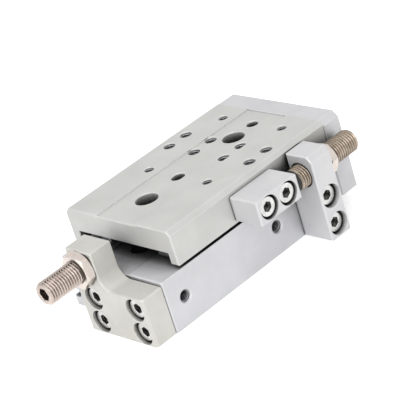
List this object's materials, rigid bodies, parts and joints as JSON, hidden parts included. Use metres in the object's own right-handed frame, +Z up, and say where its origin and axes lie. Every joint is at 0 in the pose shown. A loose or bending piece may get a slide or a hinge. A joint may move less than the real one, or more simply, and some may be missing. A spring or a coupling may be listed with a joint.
{
  "type": "pneumatic slide cylinder",
  "caption": "Twin-rod pneumatic slide cylinder: ball-guided table and end plate on a flat body, with screw stroke adjusters at both ends.",
  "frame": {"origin": "centre of the body's base face", "axes": "+X along the stroke, the way the table moves out; +Y across, away from the air ports; +Z up out of the table"},
  "size_m": [0.1405, 0.0774, 0.04],
  "materials": {
    "anodised_body": "fine bead-blasted, clear anodised",
    "anodised_table": "milled, clear anodised",
    "anodised_block": "milled, clear anodised",
    "machined_aluminium": "turned",
    "screw_steel": "bright zinc plated",
    "adjuster_steel": "nickel plated, warm tint",
    "rail_steel": "ground",
    "ring_steel": "black phosphate",
    "rod_chrome": "hard chrome, polished",
    "ball_steel": "polished",
    "bush_bronze": "sintered bronze, plain",
    "bumper_rubber": "matt",
    "seal_rubber": "satin",
    "magnet_bonded": "matt",
    "wear_ring_resin": "matt",
    "cage_resin": "matt"
  },
  "bodies": {
    "base": {"body": "anodised_body", "rear_stop_block": "anodised_block", "rear_block_screws": "screw_steel", "front_stop_block": "anodised_block", "front_block_screws": "screw_steel", "right_rod_cover": "machined_aluminium", "left_rod_cover": "machined_aluminium", "rod_bushes": "bush_bronze", "rod_seals": "seal_rubber", "rod_bumpers": "bumper_rubber", "right_rear_plug": "machined_aluminium", "left_rear_plug": "machined_aluminium", "bore_o_rings": "seal_rubber", "retaining_rings": "ring_steel", "port_plugs": "screw_steel", "right_body_rail": "rail_steel", "left_body_rail": "rail_steel", "body_rail_screws": "screw_steel"},
    "table": {"table": "anodised_table", "end_plate": "anodised_table", "end_plate_screws": "screw_steel", "stopper_block": "anodised_block", "stopper_screws": "screw_steel", "right_piston_rod": "rod_chrome", "left_piston_rod": "rod_chrome", "rod_end_screws": "screw_steel", "right_piston": "machined_aluminium", "left_piston": "machined_aluminium", "piston_seals": "seal_rubber", "piston_magnets": "magnet_bonded", "piston_wear_rings": "wear_ring_resin", "piston_nuts": "screw_steel", "right_table_rail": "rail_steel", "left_table_rail": "rail_steel", "table_rail_screws": "screw_steel"},
    "right_cage": {"right_ball_cage": "cage_resin", "right_balls": "ball_steel"},
    "left_cage": {"left_ball_cage": "cage_resin", "left_balls": "ball_steel"},
    "rear_bumper": {"rear_bumper": "bumper_rubber"},
    "rear_bolt": {"rear_adjuster_bolt": "adjuster_steel"},
    "rear_nut": {"rear_lock_nut": "adjuster_steel"},
    "front_bumper": {"front_bumper": "bumper_rubber"},
    "front_bolt": {"front_adjuster_bolt": "adjuster_steel"},
    "front_nut": {"front_lock_nut": "adjuster_steel"}
  },
  "joints": [
    {"name": "table_slide", "type": "slide", "parent": "base", "child": "table", "axis": [1, 0, 0], "range_m": [-0.0096, 0.0004]},
    {"name": "right_cage_slide", "type": "slide", "parent": "base", "child": "right_cage", "axis": [1, 0, 0], "range_m": [-0.0049, 0.0003]},
    {"name": "left_cage_slide", "type": "slide", "parent": "base", "child": "left_cage", "axis": [1, 0, 0], "range_m": [-0.0049, 0.0003]},
    {"name": "rear_adjuster_travel", "type": "slide", "parent": "base", "child": "rear_bumper", "axis": [1, 0, 0], "range_m": [-0.005, 0]},
    {"name": "rear_adjuster_turn", "type": "hinge", "parent": "rear_bumper", "child": "rear_bolt", "pos_m": [-0.06, 0.0008, 0.0307], "axis": [1, 0, 0], "range_deg": [-1442, 2]},
    {"name": "rear_lock_nut_turn", "type": "hinge", "parent": "base", "child": "rear_nut", "pos_m": [-0.057, 0.0008, 0.0307], "axis": [1, 0, 0], "range_deg": [0, 60]},
    {"name": "front_adjuster_travel", "type": "slide", "parent": "base", "child": "front_bumper", "axis": [1, 0, 0], "range_m": [0, 0.005]},
    {"name": "front_adjuster_turn", "type": "hinge", "parent": "front_bumper", "child": "front_bolt", "pos_m": [0.04, -0.0385, 0.0296], "axis": [1, 0, 0], "range_deg": [-2, 1442]},
    {"name": "front_lock_nut_turn", "type": "hinge", "parent": "base", "child": "front_nut", "pos_m": [0.044, -0.0385, 0.0296], "axis": [1, 0, 0], "range_deg": [0, 60]}
  ],
  "couplings": [
    {"joint": "right_cage_slide", "follows": "table_slide", "ratio": 0.5},
    {"joint": "left_cage_slide", "follows": "table_slide", "ratio": 0.5},
    {"joint": "rear_adjuster_turn", "follows": "rear_adjuster_travel", "rad_per_m": 5026.5},
    {"joint": "front_adjuster_turn", "follows": "front_adjuster_travel", "rad_per_m": 5026.5}
  ]
}
